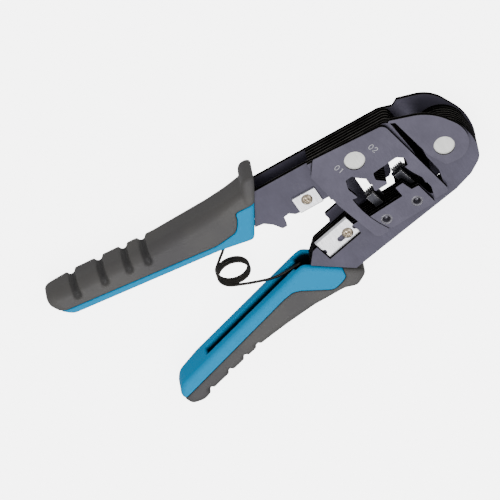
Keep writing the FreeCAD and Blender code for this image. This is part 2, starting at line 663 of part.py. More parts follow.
for label in ("upper_handle_liner", "upper_handle_grip"):
    cut_slot(handles[label], label + "_core", CORE, LEVEL["die_1"], LEVEL["front"])
tang_room = [(-66.0, -16.64)] + TANG[1:3] + [(-66.0, -8.73)]
for label in ("lower_handle_liner", "lower_handle_grip"):
    cut_slot(handles[label], label + "_tang", tang_room, LEVEL["punch_1"],
             LEVEL["moving_front"])
cut_slot(handles["lower_handle_liner"], "lower_spring_slot",
         rectangle(-147.0, -75.0, -12.0, 3.0), "Params.slot_low", "Params.slot_high")
for label in ("upper_handle_liner", "upper_handle_grip"):
    cut_slot(handles[label], label + "_spring_slot", rectangle(-123.0, -103.0, 0.0, 12.2),
             "Params.slot_low", "Params.slot_high")

# ---------------------------------------------------------------- spring


UPPER_LEG = [(-106.8, 10.8, 9.0), (-107.1, 8.2, 9.0), (-110.4, 3.2, 9.0), (-114.9, -1.0, 8.7)]
LOWER_LEG = [(-110.0, -19.2, 9.1), (-101.2, -22.7, 8.6), (-95.4, -23.6, 8.4),
             (-86.0, -23.4, 8.4)]
COIL_START = 144
COIL_STEP = 30


def coil_points():
    """Points along the wound turns, whose axis hangs askew."""
    centre = FreeCAD.Vector(size("spring_x"), size("spring_y"), size("spring_height"))
    lean = FreeCAD.Rotation(FreeCAD.Vector(1, 0, 0), size("spring_tilt"))
    half_height = size("spring_pitch") * size("spring_turns") / 2
    points = []
    for turned in range(0, round(360 * size("spring_turns")) + 1, COIL_STEP):
        angle = math.radians(COIL_START + turned)
        height = size("spring_pitch") * turned / 360 - half_height
        on_turn = FreeCAD.Vector(size("spring_radius") * math.cos(angle),
                                 size("spring_radius") * math.sin(angle), height)
        points.append(centre + lean.multVec(on_turn))
    return points


def spring_shape():
    """Round wire swept along both legs and the turns between them."""
    points = [FreeCAD.Vector(*point) for point in UPPER_LEG] + coil_points()
    points += [FreeCAD.Vector(*point) for point in LOWER_LEG]
    line = Part.BSplineCurve()
    line.interpolate(points)
    start = line.value(line.FirstParameter)
    along = line.tangent(line.FirstParameter)[0]
    section = Part.Wire([Part.makeCircle(size("wire_radius"), start, along)])
    return Part.Wire([line.toShape()]).makePipeShell([section], True, True)


spring = doc.addObject("Part::Feature", "return_spring")
spring.Label = "return_spring"
spring.Shape = spring_shape()
spring.Placement = FreeCAD.Placement(FreeCAD.Vector(size("pivot_x"), size("pivot_y"), 0),
                                     FreeCAD.Rotation())
nodes.append(spring)

# ---------------------------------------------------------------- export

doc.recompute()
for item in doc.Objects:
    if "Invalid" in item.State or "Error" in item.State:
        raise RuntimeError(f"{item.Name} failed: {item.State}")
whole = FreeCAD.BoundBox()
for part in nodes:
    if part.Shape.isNull() or not part.Shape.isValid():
        raise RuntimeError(f"{part.Label} has no valid shape")
    whole.add(part.Shape.BoundBox)
    print(f"{part.Label:24s} solids {len(part.Shape.Solids)}  volume {part.Shape.Volume:9.1f} mm3")
print("box", [round(v, 2) for v in (whole.XMin, whole.XMax, whole.YMin, whole.YMax,
                                    whole.ZMin, whole.ZMax)])
os.makedirs("parts", exist_ok=True)
for part in nodes:
    part.Shape.exportStep(f"parts/{part.Label}.step")
print(len(nodes), "sub-parts")
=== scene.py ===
"""Looks of a modular plug crimping tool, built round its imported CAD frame."""

import json
import math

import bpy
import numpy as np
from mathutils import Matrix, Vector


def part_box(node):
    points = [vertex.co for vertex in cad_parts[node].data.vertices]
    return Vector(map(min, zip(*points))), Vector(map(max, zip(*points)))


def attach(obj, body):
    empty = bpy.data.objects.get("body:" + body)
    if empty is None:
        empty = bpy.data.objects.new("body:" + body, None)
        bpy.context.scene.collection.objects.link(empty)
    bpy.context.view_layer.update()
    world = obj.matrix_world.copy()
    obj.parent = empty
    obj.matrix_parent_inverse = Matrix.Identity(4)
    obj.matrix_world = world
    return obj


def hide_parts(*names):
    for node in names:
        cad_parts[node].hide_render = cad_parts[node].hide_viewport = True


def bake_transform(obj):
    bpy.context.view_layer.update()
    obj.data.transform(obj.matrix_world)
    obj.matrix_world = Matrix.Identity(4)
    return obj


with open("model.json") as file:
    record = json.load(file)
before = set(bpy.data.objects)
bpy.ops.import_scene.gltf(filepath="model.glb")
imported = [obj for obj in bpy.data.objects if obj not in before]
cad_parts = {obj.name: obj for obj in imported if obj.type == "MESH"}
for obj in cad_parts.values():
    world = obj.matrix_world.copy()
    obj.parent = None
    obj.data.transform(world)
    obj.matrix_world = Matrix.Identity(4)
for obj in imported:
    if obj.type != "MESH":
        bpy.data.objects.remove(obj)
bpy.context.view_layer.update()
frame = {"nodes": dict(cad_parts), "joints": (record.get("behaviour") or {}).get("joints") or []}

MM = 0.001
hinge = frame["joints"][0]
PIVOT = Vector(hinge["pos_m"])
OPEN_TURN = math.radians(hinge["range_deg"][1])
HEIGHT = 17.4

# Handles, in millimetres: the room left round an outline, the back edge's rounding along a
# handle and at its free end, and the reach over which an edge turns from a liner's rounding
# to a grip's.
MARGIN = 4
ROUND_BACK, ROUND_BACK_END = 2.4, 6.0
ROUNDING_REACH = 9
JOINT_GAP = 0.03
LEG_PARTS = 8

# Outlines in millimetres from the pivot; those of the moving arm are drawn shut.
UPPER_WHOLE = [(-94.8, 2.9), (-79.0, 31.2), (-83.2, 29.0), (-88.4, 27.6), (-96.0, 26.2),
               (-106.0, 25.3), (-134.0, 24.6), (-172.0, 27.0), (-188.8, 28.2), (-189.6, 23.2),
               (-186.0, 18.0), (-182.0, 14.2), (-111.0, 6.3), (-99.7, 4.0)]
UPPER_LINER_SIDE = [(-200.0, 20.2), (-185.4, 18.8), (-116.0, 10.8), (-111.0, 10.2),
                    (-104.6, 10.9), (-100.2, 11.6), (-97.8, 14.4), (-96.2, 17.2), (-95.6, 20.4),
                    (-84.0, 19.7), (-70.0, 19.0), (-70.0, -20.0), (-200.0, -20.0)]
UPPER_COLLAR = [(-85.3, 19.7), (-78.8, 31.6), (-79.8, 33.2), (-84.4, 33.4), (-86.2, 31.8),
                (-91.0, 20.2)]
LOWER_WHOLE = [(-69.3, -21.4), (-86.3, -0.9), (-91.0, -0.9), (-156.0, -6.0), (-166.5, -6.9),
               (-170.6, -10.6), (-170.6, -18.4), (-164.5, -21.4), (-156.6, -19.5),
               (-127.0, -18.1), (-96.1, -20.3), (-81.4, -23.4), (-76.6, -26.8), (-68.8, -24.2)]
LOWER_LINER_SIDE = [(-180.0, -14.2), (-170.6, -13.4), (-115.8, -8.5), (-104.0, -7.4),
                    (-99.0, -7.6), (-96.0, -9.4), (-86.2, -18.9), (-84.2, -20.0),
                    (-80.0, -19.7), (-76.8, -19.0), (-75.0, -14.0), (-60.0, -6.0),
                    (-60.0, 20.0), (-180.0, 20.0)]


# ---------------------------------------------------------------- shaping

def signed_distance(corners, xs, ys):
    """Distance to a closed outline over a grid, negative inside."""
    px, py = np.meshgrid(xs, ys, indexing="ij")
    nearest = np.full(px.shape, 1e9)
    inside = np.zeros(px.shape, bool)
    for (ax, ay), (bx, by) in zip(corners, corners[1:] + corners[:1]):
        ex, ey = bx - ax, by - ay
        wx, wy = px - ax, py - ay
        share = np.clip((wx * ex + wy * ey) / (ex * ex + ey * ey), 0, 1)
        nearest = np.minimum(nearest, np.hypot(wx - ex * share, wy - ey * share))
        if ay != by:
            crosses = (ay > py) != (by > py)
            inside ^= crosses & (px < ax + ex * (py - ay) / ey)
    return np.where(inside, -nearest, nearest)


def soften(field, reach):
    """Blurs a grid by a number of cells, which rounds a shape's corners."""
    span = np.arange(-3 * reach, 3 * reach + 1)
    weights = np.exp(-(span / reach) ** 2 / 2)
    weights /= weights.sum()
    for axis in range(field.ndim):
        margins = [(3 * reach, 3 * reach) if a == axis else (0, 0) for a in range(field.ndim)]
        padded = np.pad(field, margins, mode="edge")
        count = field.shape[axis]
        field = sum(weight * np.take(padded, range(start, start + count), axis)
                    for start, weight in enumerate(weights))
    return field


def rounded_slab(flat, zs, low, high, radius):
    """A flat outline's field made a slab whose edges are rounded."""
    across = flat[:, :, None] + radius
    along = np.abs(zs - (low + high) / 2) - (high - low) / 2 + radius
    outside = np.hypot(np.maximum(across, 0), np.maximum(along, 0))
    return np.minimum(np.maximum(across, along), 0) + outside - radius


def both(one, other, blend):
    """Where two fields are both inside, with a soft edge between them."""
    mix = np.clip(0.5 - 0.5 * (one - other) / blend, 0, 1)
    return one * (1 - mix) + other * mix + blend * mix * (1 - mix)


def without(one, other, blend):
    """The first field with the second cut out of it."""
    return both(one, -other, blend)


def box_field(grid, low, high, radius):
    """A box with rounded edges."""
    gaps = [np.abs(g - (a + b) / 2) - (b - a) / 2 + radius for g, a, b in zip(grid, low, high)]
    outside = np.sqrt(sum(np.maximum(g, 0) ** 2 for g in gaps))
    return np.minimum(np.maximum(np.maximum(gaps[0], gaps[1]), gaps[2]), 0) + outside - radius


CUBE = [(0, 0, 0), (1, 0, 0), (0, 1, 0), (1, 1, 0), (0, 0, 1), (1, 0, 1), (0, 1, 1), (1, 1, 1)]
CUBE_EDGES = [(0, 1), (2, 3), (4, 5), (6, 7), (0, 2), (1, 3), (4, 6), (5, 7), (0, 4), (1, 5),
              (2, 6), (3, 7)]


def net_of(field, axes):
    """Vertices and faces of a field's zero level, one vertex in each crossed cell."""
    size = np.array(field.shape) - 1
    corner = [field[i:size[0] + i, j:size[1] + j, k:size[2] + k] for i, j, k in CUBE]
    inside = sum((c < 0).astype(int) for c in corner)
    crossed = (inside > 0) & (inside < 8)
    cells = np.argwhere(crossed)
    values = [c[crossed] for c in corner]
    total = np.zeros((len(cells), 3))
    hits = np.zeros(len(cells))
    for first, second in CUBE_EDGES:
        a, b = values[first], values[second]
        cut = (a < 0) != (b < 0)
        share = np.where(cut, a / np.where(cut, a - b, 1), 0)[:, None]
        point = np.array(CUBE[first]) + share * (np.array(CUBE[second]) - np.array(CUBE[first]))
        total += np.where(cut[:, None], point, 0)
        hits += cut
    at = cells + total / hits[:, None]
    origin = np.array([axis[0] for axis in axes])
    step = np.array([axis[1] - axis[0] for axis in axes])
    number = np.full(size, -1)
    number[crossed] = np.arange(len(cells))
    faces = []
    for axis in range(3):
        u, v = (axis + 1) % 3, (axis + 2) % 3
        signs = np.moveaxis(field < 0, [axis, u, v], [0, 1, 2])
        names = np.moveaxis(number, [axis, u, v], [0, 1, 2])
        change = signs[1:, 1:-1, 1:-1] != signs[:-1, 1:-1, 1:-1]
        a, b, c = np.nonzero(change)
        quad = np.stack([names[a, b, c], names[a, b + 1, c], names[a, b + 1, c + 1],
                         names[a, b, c + 1]], axis=1)
        leaving = signs[:-1, 1:-1, 1:-1][change]
        faces.append(np.where(leaving[:, None], quad, quad[:, ::-1]))
    return origin + at * step, np.concatenate(faces)


def new_object(name, points, faces, smooth=True):
    """A mesh object from points in row-frame metres."""
    mesh = bpy.data.meshes.new(name)
    mesh.from_pydata([tuple(p) for p in points], [], [tuple(int(i) for i in f) for f in faces])
    mesh.update()
    for polygon in mesh.polygons:
        polygon.use_smooth = smooth
    made = bpy.data.objects.new(name, mesh)
    bpy.context.scene.collection.objects.link(made)
    return made


def to_row(points, moving):
    """Points in millimetres from the pivot, put in the row frame at rest."""
    points = np.array(points, float)
    if moving:
        cosine, sine = math.cos(OPEN_TURN), math.sin(OPEN_TURN)
        x, y = points[:, 0].copy(), points[:, 1].copy()
        points[:, 0] = x * cosine - y * sine
        points[:, 1] = x * sine + y * cosine
    return points * MM + np.array([PIVOT.x, PIVOT.y, 0])


def grid_axes(corners, step):
    """Sample positions along X, Y and Z round an outline."""
    xs, ys = [c[0] for c in corners], [c[1] for c in corners]
    return (np.arange(min(xs) - MARGIN, max(xs) + MARGIN, step),
            np.arange(min(ys) - MARGIN, max(ys) + MARGIN, step),
            np.arange(-3, HEIGHT + 3, step))


def handle_pieces(side, whole, liner_side, round_outer, round_inner, grooves, collar=None,
                  step=0.42):
    """Grip and liner of one handle, cut from one rounded slab along their joint."""
    moving = side == "lower"
    xs, ys, zs = grid_axes(whole, step)
    flat = soften(signed_distance(whole, xs, ys), 3)
    joint = soften(signed_distance(liner_side, xs, ys), 2)
    outer = np.clip(joint / ROUNDING_REACH, 0, 1)
    near_mouth = np.interp(xs, (-112.0, -92.0), (1.0, 0.6))[:, None]
    front = round_inner + (round_outer * near_mouth - round_inner) * outer
    free_end = min(xs) + MARGIN
    back = np.interp(xs, (free_end, free_end + 16), (ROUND_BACK_END, ROUND_BACK))[:, None, None]
    radius = np.where(zs > HEIGHT / 2, front[:, :, None], back)
    slab = rounded_slab(flat, zs, 0, HEIGHT, radius)
    mouth_low, mouth_high = whole[0], whole[1]
    grid = np.meshgrid(xs, ys, zs, indexing="ij")
    along = np.array(mouth_high) - np.array(mouth_low)
    normal = np.array([along[1], -along[0]]) / np.hypot(*along)
    reach = (grid[0] - mouth_low[0]) * normal[0] + (grid[1] - mouth_low[1]) * normal[1]
    slab = both(slab, reach, 1.2)
    grip = both(slab, -joint[:, :, None] + JOINT_GAP, 0.9)
    liner = both(slab + 0.05, joint[:, :, None] + JOINT_GAP, 0.7)
    if collar:
        band = soften(signed_distance(collar, xs, ys), 3)
        band = both(rounded_slab(band, zs, 0, HEIGHT + 0.7, 2.2), reach, 1.2)
        grip = -both(-grip, -band, 0.5)
    for cut in grooves(grid, slab):
        grip = without(grip, cut, 0.8)
    if moving:
        slot = box_field(grid, (-149.5, -16.0, 5.9), (-60.0, 10.0, 12.2), 0.4)
        wide = box_field(grid, (-91.5, -16.0, 3.2), (-60.0, 10.0, 14.4), 0.8)
        liner = without(without(liner, slot, 0.7), wide, 0.7)
    else:
        slot = box_field(grid, (-123.0, 0.0, 5.6), (-103.0, 11.0, 12.4), 0.5)
        liner = without(liner, slot, 0.5)
    made = []
    origin = np.array([xs[0], ys[0], zs[0]])
    for part, field in (("grip", grip), ("liner", liner)):
        points, faces = net_of(field, (xs, ys, zs))
        thing = new_object(f"{side}_{part}_body", to_row(points, moving), faces)
        # Depth below the moulded surface, stored for the materials to paint shade in grooves and
        # slots.
        i, j, k = np.rint((points - origin) / step).astype(int).T
        depth = np.clip((-slab[i, j, k] - 0.4) / 1.5, 0, 1)
        recess = thing.data.attributes.new("recess", "FLOAT", "POINT")
        recess.data.foreach_set("value", depth.astype(np.float32))
        made.append(thing)
    return made


def cut_channel(grid, slab, x, tip, radius, depth, side, lean=0.0):
    """A round channel that follows a grip's outer side and ends in a round tip."""
    beyond = np.minimum((grid[1] - tip) * side, 0)
    across = grid[0] - x - lean * (grid[1] - tip)
    return np.sqrt(across ** 2 + (slab - radius + depth) ** 2 + beyond ** 2) - radius


def upper_grooves(grid, slab):
    """Four wrap-over grooves near the end of the fixed handle's grip."""
    for x, tip in ((-140.4, 20.0), (-149.5, 21.0), (-161.7, 21.6), (-175.4, 22.4)):
        yield cut_channel(grid, slab, x, tip, 1.9, 1.7, 1, 0.12)


def lower_grooves(grid, slab):
    """The same grooves on the outer side of the moving handle's grip."""
    for x, tip in ((-129.0, -16.2), (-136.9, -16.7), (-146.6, -17.1), (-159.0, -17.7)):
        yield cut_channel(grid, slab, x, tip, 1.5, 1.35, -1)


upper_grip, upper_liner = handle_pieces("upper", UPPER_WHOLE, UPPER_LINER_SIDE, 6.5, 3.0,
                                        upper_grooves, UPPER_COLLAR)
lower_grip, lower_liner = handle_pieces("lower", LOWER_WHOLE, LOWER_LINER_SIDE, 4.5, 2.6,
                                        lower_grooves)
for piece, node, body, slot in ((upper_grip, "upper_handle_grip", "frame", "dark_rubber"),
                                (upper_liner, "upper_handle_liner", "frame", "blue_plastic"),
                                (lower_grip, "lower_handle_grip", "lower_arm", "dark_rubber"),
                                (lower_liner, "lower_handle_liner", "lower_arm", "blue_plastic")):
    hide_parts(node)
    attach(piece, body)


# ---------------------------------------------------------------- spring

SPRING_CENTRE = np.array([-112.9, -9.4, 9.2])
SPRING_TILT = math.radians(17)
SPRING_RADIUS, SPRING_PITCH, WIRE = 7.3, 1.28, 0.64
SPRING_START, SPRING_TURNS = 144, 3.25
UPPER_LEG = [(-106.8, 10.8, 9.0), (-107.1, 8.2, 9.0), (-110.4, 3.2, 9.0), (-114.9, -1.0, 8.7)]
LOWER_LEG = [(-110.0, -19.2, 9.1), (-101.2, -22.7, 8.6), (-95.4, -23.6, 8.4), (-86.0, -23.4, 8.4)]


def coil_line(per_turn=36):
    """Points along the wound turns, from the upper leg to the lower."""
    points = []
    for count in range(round(per_turn * SPRING_TURNS) + 1):
        turned = count / per_turn
        angle = math.radians(SPRING_START + 360 * turned)
        height = SPRING_PITCH * (turned - SPRING_TURNS / 2)
        x, y = SPRING_RADIUS * math.cos(angle), SPRING_RADIUS * math.sin(angle)
        points.append(SPRING_CENTRE + np.array([
            x, y * math.cos(SPRING_TILT) - height * math.sin(SPRING_TILT),
            y * math.sin(SPRING_TILT) + height * math.cos(SPRING_TILT)]))
    return points


def smooth_line(points, parts=LEG_PARTS):
    """A Catmull-Rom line through points."""
    points = [2 * points[0] - points[1]] + points + [2 * points[-1] - points[-2]]
    line = []
    for a, b, c, d in zip(points, points[1:], points[2:], points[3:]):
        for share in np.arange(parts) / parts:
            line.append(0.5 * (2 * b + (c - a) * share + (2 * a - 5 * b + 4 * c - d) * share ** 2
                               + (3 * b - a - 3 * c + d) * share ** 3))
    return line + [points[-2]]


def tube(name, line, radius, around=14):
    """A round wire along a line of points in millimetres."""
    line = np.array(line)
    heading = np.gradient(line, axis=0)
    heading /= np.linalg.norm(heading, axis=1)[:, None]
    side = np.cross(heading[0], (0, 0, 1))
    rings = []
    for point, ahead in zip(line, heading):
        side = side - ahead * side.dot(ahead)
        side /= np.linalg.norm(side)
        up = np.cross(ahead, side)
        for step in range(around):
            turn = 2 * math.pi * step / around
            rings.append(point + radius * (side * math.cos(turn) + up * math.sin(turn)))
    faces = [(i * around + j, i * around + (j + 1) % around,
              (i + 1) * around + (j + 1) % around, (i + 1) * around + j)
             for i in range(len(line) - 1) for j in range(around)]
    last = (len(line) - 1) * around
    faces += [tuple(range(around))[::-1], tuple(range(last, last + around))]
    return new_object(name, to_row(rings, False), faces)


coil = coil_line()
upper_part = smooth_line([np.array(p) for p in UPPER_LEG] + coil[:2])[:-LEG_PARTS]
lower_part = smooth_line(coil[-2:] + [np.array(p) for p in LOWER_LEG])[LEG_PARTS:]
spring = tube("spring_wire", upper_part + coil[1:-1] + lower_part, WIRE)
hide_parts("return_spring")
blend_ends = to_row([(-112.0, -1.5, 9.0), (-104.0, -21.5, 9.0)], False)
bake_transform(spring)


# ---------------------------------------------------------------- screws and rivets

def turned(profile, around=48):
    """Points and faces of a profile of (radius, height) turned about Z, ends closed."""
    points = [(radius * math.cos(turn), radius * math.sin(turn), height)
              for radius, height in profile
              for turn in np.linspace(0, 2 * math.pi, around, endpoint=False)]
    faces = [(i * around + j, i * around + (j + 1) % around,
              (i + 1) * around + (j + 1) % around, (i + 1) * around + j)
             for i in range(len(profile) - 1) for j in range(around)]
    last = (len(profile) - 1) * around
    faces += [tuple(range(around))[::-1], tuple(range(last, last + around))]
    return np.array(points), faces


def flared_rivets():
    """Both tubular rivets of the punch block, their mouths rolled outwards."""
    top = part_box("punch_block_plate")[1].z / MM
    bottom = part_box("punch_block_rivets")[0].z / MM
    profile = [(2.6, bottom), (2.6, top - 0.12), (2.5, top - 0.02), (2.36, top - 0.16),
               (2.2, top - 0.16), (2.08, top + 0.02), (1.9, top - 0.02), (1.62, top - 0.28),
               (1.45, top - 0.8), (1.4, top - 2.0), (1.05, top - 2.5), (0.5, top - 2.75)]
    points, faces = [], []
    for x, y in ((-27.8, -12.2), (-43.6, -9.3)):
        one, sides = turned(profile)
        faces += [tuple(i + len(points) * len(one) for i in ring) for ring in sides]
        points.append(one + np.array([x, y, 0]))
    return new_object("flared_rivets", to_row(np.concatenate(points), True), faces)


def domed_screw(name, node, x, y, moving, turn):
    """A domed screw head with a cross recess, and its shank."""
    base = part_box(node)[1].z / MM - 1.2
    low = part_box(node)[0].z / MM
    step = 0.11
    axes = (np.arange(-3.2, 3.2, step), np.arange(-3.2, 3.2, step),
            np.arange(low - 0.4, base + 1.8, step))
    gx, gy, gz = np.meshgrid(*axes, indexing="ij")
    across = np.hypot(gx, gy)
    dome = np.sqrt(across ** 2 + (gz - base + 2.2) ** 2) - 3.55
    head = both(both(dome, base - gz, 0.25), across - 2.75, 0.25)
    shank = np.maximum(np.maximum(across - 1.35, low - gz), gz - base - 0.3)
    field = np.minimum(head, shank)
    cosine, sine = math.cos(turn), math.sin(turn)
    u, v = gx * cosine + gy * sine, gy * cosine - gx * sine
    floor_level = base + 0.35 + 0.28 * across
    for a, b in ((u, v), (v, u)):
        arm = np.maximum(np.maximum(np.abs(a) - 1.75, np.abs(b) - 0.36), floor_level - gz)
        field = without(field, arm, 0.18)
    points, faces = net_of(field, axes)
    return new_object(name, to_row(points + np.array([x, y, 0]), moving), faces)


rivets = flared_rivets()
short_screw = domed_screw("short_screw", "short_blade_screw", -65.9, 7.1, False, 0.5)
long_screw = domed_screw("long_screw", "long_blade_screw", -61.6, -3.6, True, 0.35)
for piece, node, body, slot in ((rivets, "punch_block_rivets", "lower_arm", "blackened_steel"),
                                (short_screw, "short_blade_screw", "frame", "nickel_screw"),
                                (long_screw, "long_blade_screw", "lower_arm", "nickel_screw")):
    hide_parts(node)
    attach(piece, body)


# ---------------------------------------------------------------- engraved numerals

DIGIT_LINES = {
    "0": [[(0.5 + 0.42 * math.cos(a), 0.8 + 0.72 * math.sin(a))
           for a in np.linspace(0, 2 * math.pi, 25)]],
    "1": [[(0.25, 1.25), (0.55, 1.52), (0.55, 0.08)]],
    "2": [[(0.5 + 0.4 * math.cos(a), 1.1 + 0.4 * math.sin(a))
           for a in np.linspace(math.pi, -0.6, 14)] + [(0.1, 0.08), (0.92, 0.08)]],
}


def ribbon(line, width):
    """Left and right edges of a flat stroke."""
    line = np.array(line)
    ahead = np.gradient(line, axis=0)
    ahead /= np.linalg.norm(ahead, axis=1)[:, None]
    across = np.stack([-ahead[:, 1], ahead[:, 0]], axis=1) * width / 2
    return line + across, line - across


def engraving(name, text, centre, direction, height):
    """Filled numerals just proud of the raised plate."""
    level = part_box("die_housing_plate")[1].z / MM
    turn = math.radians(direction)
    right = np.array([math.cos(turn), math.sin(turn)])
    up = np.array([-right[1], right[0]])
    scale = height / 1.6
    points, faces = [], []
    for place, digit in enumerate(text):
        for stroke in DIGIT_LINES[digit]:
            placed = [((x - 0.5 + 1.35 * (place - (len(text) - 1) / 2)) * scale,
                       (y - 0.8) * scale) for x, y in stroke]
            left, other = ribbon(placed, 0.24)
            for a, b in zip(left, other):
                for lift in (0.0, 0.02):
                    for p in (a, b):
                        flat = np.array(centre) + right * p[0] + up * p[1]
                        points.append((*flat, level + lift))
            first = len(points) - 4 * len(stroke)
            for step in range(len(stroke) - 1):
                n = first + 4 * step
                faces += [(n + 2, n + 3, n + 7, n + 6), (n, n + 4, n + 5, n + 1),
                          (n, n + 2, n + 6, n + 4), (n + 1, n + 5, n + 7, n + 3)]
            last = first + 4 * (len(stroke) - 1)
            faces += [(first, first + 1, first + 3, first + 2),
                      (last, last + 2, last + 3, last + 1)]
    made = new_object(name, to_row(points, False), faces, smooth=False)
    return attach(made, "frame")


numerals = [engraving("wide_numeral", "02", (-27.1, 16.4), -70, 2.9),
            engraving("narrow_numeral", "01", (-45.1, 15.4), -70, 2.9)]


# ---------------------------------------------------------------- materials

class Nodes:
    """A material's node tree, with short calls for what this scene needs."""

    def __init__(self, name):
        self.material = bpy.data.materials.new(name)
        self.material.use_nodes = True
        self.tree = self.material.node_tree
        self.shader = next(n for n in self.tree.nodes if n.type == "BSDF_PRINCIPLED")
        self.place = self.add("ShaderNodeNewGeometry")

    def add(self, kind, **settings):
        node = self.tree.nodes.new(kind)
        for key, value in settings.items():
            setattr(node, key, value)
        return node

    def put(self, value, socket):
        if isinstance(value, bpy.types.NodeSocket):
            self.tree.links.new(value, socket)
        elif isinstance(value, tuple) and len(value) == 3 and socket.type == "RGBA":
            socket.default_value = (*value, 1)
        else:
            socket.default_value = value

    def math(self, operation, *values):
        node = self.add("ShaderNodeMath", operation=operation)
        for value, socket in zip(values, node.inputs):
            self.put(value, socket)
        return node.outputs[0]

    def spread(self, value, low, high, to_low=0.0, to_high=1.0):
        node = self.add("ShaderNodeMapRange")
        for number, part in enumerate((value, low, high, to_low, to_high)):
            self.put(part, node.inputs[number])
        return node.outputs[0]

    def mix(self, share, one, other):
        node = self.add("ShaderNodeMix", data_type="RGBA")
        self.put(share, node.inputs[0])
        self.put(one, node.inputs[6])
        self.put(other, node.inputs[7])
        return node.outputs[2]

    def noise(self, scale, detail=3.0, stretch=None):
        node = self.add("ShaderNodeTexNoise")
        node.inputs["Scale"].default_value = scale
        node.inputs["Detail"].default_value = detail
        position = self.add("ShaderNodeTexCoord").outputs["Object"]
        if stretch:
            mapping = self.add("ShaderNodeMapping")
            mapping.inputs["Scale"].default_value = stretch
            mapping.inputs["Rotation"].default_value = (0, 0, 0.4)
            self.tree.links.new(position, mapping.inputs[0])
            position = mapping.outputs[0]
        self.tree.links.new(position, node.inputs["Vector"])
        return node.outputs[0]

    def facing_up(self):
        split = self.add("ShaderNodeSeparateXYZ")
        self.tree.links.new(self.place.outputs["True Normal"], split.inputs[0])
        return self.math("ABSOLUTE", split.outputs[2])

    def edge(self, radius):
        """1 at a sharp edge, 0 on the flat."""
        bevel = self.add("ShaderNodeBevel", samples=4)
        bevel.inputs[0].default_value = radius
        dot = self.add("ShaderNodeVectorMath", operation="DOT_PRODUCT")
        self.tree.links.new(bevel.outputs[0], dot.inputs[0])
        self.tree.links.new(self.place.outputs["Normal"], dot.inputs[1])
        return self.spread(dot.outputs["Value"], 0.99, 0.86)

    def plate_rim(self):
        """1 where a flat plate's side meets its faces, 0 half way through it."""
        split = self.add("ShaderNodeSeparateXYZ")
        self.tree.links.new(self.add("ShaderNodeTexCoord").outputs["Generated"], split.inputs[0])
        middle = self.math("ABSOLUTE", self.math("SUBTRACT", split.outputs[2], 0.5))
        return self.spread(middle, 0.42, 0.49)

    def recess(self):
        """How far below the moulded outer surface a point lies, from 0 to 1; the materials darken
        by it as painted shade.
        """
        return self.add("ShaderNodeAttribute", attribute_name="recess").outputs["Fac"]

    def bump(self, height, strength, distance):
        node = self.add("ShaderNodeBump")
        node.inputs["Strength"].default_value = strength
        node.inputs["Distance"].default_value = distance
        self.tree.links.new(height, node.inputs["Height"])
        self.tree.links.new(node.outputs[0], self.shader.inputs["Normal"])

    def finish(self, color, roughness, **sockets):
        self.put(color, self.shader.inputs["Base Color"])
        self.put(roughness, self.shader.inputs["Roughness"])
        for key, value in sockets.items():
            self.shader.inputs[key.replace("_", " ")].default_value = value
        return self.material


def plate_steel(name, face, side, shine):
    """Oxide-blacked plate: satin faces, sides painted near-black as shade with rims as a painted
    highlight, edges paler from wear and a painted highlight.
    """
    n = Nodes(name)
    blotches = n.noise(90, 4)
    grain = n.noise(2600, 2, (1, 0.12, 1))
    flat = n.spread(n.facing_up(), 0.7, 0.95)
    # Lit and shaded copies of one finish: the faces' tone, and near-black sides as painted shade.
    face_tone = n.mix(n.spread(blotches, 0.35, 0.7), tuple(0.9 * c for c in face),
                      tuple(1.1 * c for c in face))
    shaded_side_tone = n.mix(n.spread(n.noise(700, 3), 0.3, 0.75), tuple(0.7 * c for c in side),
                      tuple(1.5 * c for c in side))
    tone = n.mix(flat, shaded_side_tone, face_tone)
    patchy = n.spread(n.noise(90, 2), 0.3, 0.6, 0.3, 0.9)
    # Paler edges: partly wear through the oxide, partly a painted highlight.
    edge_wear_and_highlight = n.math("MULTIPLY", n.math("MULTIPLY", n.edge(0.00014), patchy),
                  n.spread(flat, 0.0, 1.0, 0, 0.35))
    # Painted highlight: paler rims along each plate's side faces, next to its flat faces.
    rim_highlight = n.math("MULTIPLY", n.math("MULTIPLY", n.plate_rim(), patchy),
                     n.math("SUBTRACT", 1.0, flat))
    tone = n.mix(n.math("MAXIMUM", edge_wear_and_highlight, rim_highlight), tone, (0.30, 0.285, 0.265))
    # Sides are fully metallic with their near-black colour, so they stay dark under any lamp:
    # part of the painted shade.
    metal = n.spread(flat, 0.0, 1.0, 1.0, 0.3)
    n.put(metal, n.shader.inputs["Metallic"])
    rough = n.spread(grain, 0.2, 0.8, shine - 0.05, shine + 0.07)
    rough = n.math("ADD", rough, n.math("MULTIPLY", n.math("SUBTRACT", 1.0, flat), 0.08))
    n.bump(n.math("ADD", grain, n.math("MULTIPLY", n.noise(900, 3), 0.6)), 0.12, 0.00004)
    return n.finish(tone, rough, Specular_Tint=(0.3, 0.3, 0.32, 1))


def bare_steel(name, color, shine, metallic, grain_scale=1800):
    """Ground or polished metal with fine scratches and light stains, and a painted highlight
    along its edges.
    """
    n = Nodes(name)
    stain = n.noise(160, 4)
    grain = n.noise(grain_scale, 2, (1, 0.08, 1))
    tone = n.mix(n.spread(stain, 0.4, 0.75), color, tuple(0.82 * c for c in color))
    tone = n.mix(n.math("MULTIPLY", n.spread(grain, 0.55, 0.8), 0.25), tone,
                 tuple(0.6 * c for c in color))
    # Painted highlight: paler along sharp edges.
    tone = n.mix(n.math("MULTIPLY", n.edge(0.00015), 0.6), tone, (0.85, 0.84, 0.82))
    rough = n.spread(grain, 0.2, 0.8, shine - 0.06, shine + 0.1)
    n.bump(grain, 0.1, 0.00003)
    return n.finish(tone, rough, Metallic=metallic)


